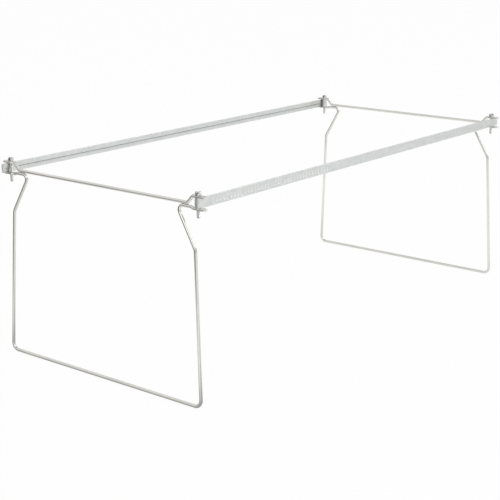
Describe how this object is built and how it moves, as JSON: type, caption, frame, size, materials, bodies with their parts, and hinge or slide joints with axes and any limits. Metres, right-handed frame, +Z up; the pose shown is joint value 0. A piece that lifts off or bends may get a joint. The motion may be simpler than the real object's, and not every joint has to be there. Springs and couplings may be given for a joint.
{
  "type": "hanging file rack",
  "caption": "Free-standing steel rack for hanging folders: two bent-wire end frames joined by two hemmed side rails, clamped by a screw at each corner.",
  "frame": {"origin": "on the floor, midway between the two end frames and the two rails", "axes": "+X along the rails towards the back end frame, +Y towards the left rail, +Z up"},
  "size_m": [0.711, 0.337, 0.2571],
  "materials": {
    "plated_wire": "bright nickel plate",
    "galvanised_strip": "satin zinc coat",
    "zinc_screw": "bright zinc"
  },
  "bodies": {
    "front_frame": {"front_crossbar": "plated_wire", "front_leg_wire": "plated_wire"},
    "front_right_screw": {"screw_front_right": "zinc_screw"},
    "front_left_screw": {"screw_front_left": "zinc_screw"},
    "right_rail": {"right_rail": "galvanised_strip"},
    "back_right_screw": {"screw_back_right": "zinc_screw"},
    "back_frame": {"back_crossbar": "plated_wire", "back_leg_wire": "plated_wire"},
    "back_left_screw": {"screw_back_left": "zinc_screw"},
    "left_rail": {"left_rail": "galvanised_strip"}
  },
  "joints": [
    {"name": "front_right_screw_turn", "type": "hinge", "parent": "front_frame", "child": "front_right_screw", "pos_m": [-0.343, -0.156, 0.25], "axis": [0, 0, 1], "range_deg": [0, 630]},
    {"name": "front_left_screw_turn", "type": "hinge", "parent": "front_frame", "child": "front_left_screw", "pos_m": [-0.343, 0.156, 0.25], "axis": [0, 0, 1], "range_deg": [0, 630]},
    {"name": "rack_fold", "type": "hinge", "parent": "front_frame", "child": "right_rail", "pos_m": [-0.343, -0.156, 0.25], "axis": [0, 0, 1], "range_deg": [-45, 45]},
    {"name": "length_slide", "type": "slide", "parent": "right_rail", "child": "back_right_screw", "axis": [1, 0, 0], "range_m": [-0.0762, 0.006]},
    {"name": "back_frame_pivot", "type": "hinge", "parent": "back_right_screw", "child": "back_frame", "pos_m": [0.343, -0.156, 0.25], "axis": [0, 0, 1], "range_deg": [-45, 45]},
    {"name": "left_rail_pivot", "type": "hinge", "parent": "back_frame", "child": "left_rail", "pos_m": [0.343, 0.156, 0.25], "axis": [0, 0, 1], "range_deg": [-45, 45]},
    {"name": "back_left_screw_turn", "type": "hinge", "parent": "back_frame", "child": "back_left_screw", "pos_m": [0.343, 0.156, 0.25], "axis": [0, 0, 1], "range_deg": [0, 630]}
  ],
  "couplings": [
    {"joint": "back_frame_pivot", "follows": "rack_fold", "ratio": -1},
    {"joint": "left_rail_pivot", "follows": "rack_fold", "ratio": 1}
  ]
}
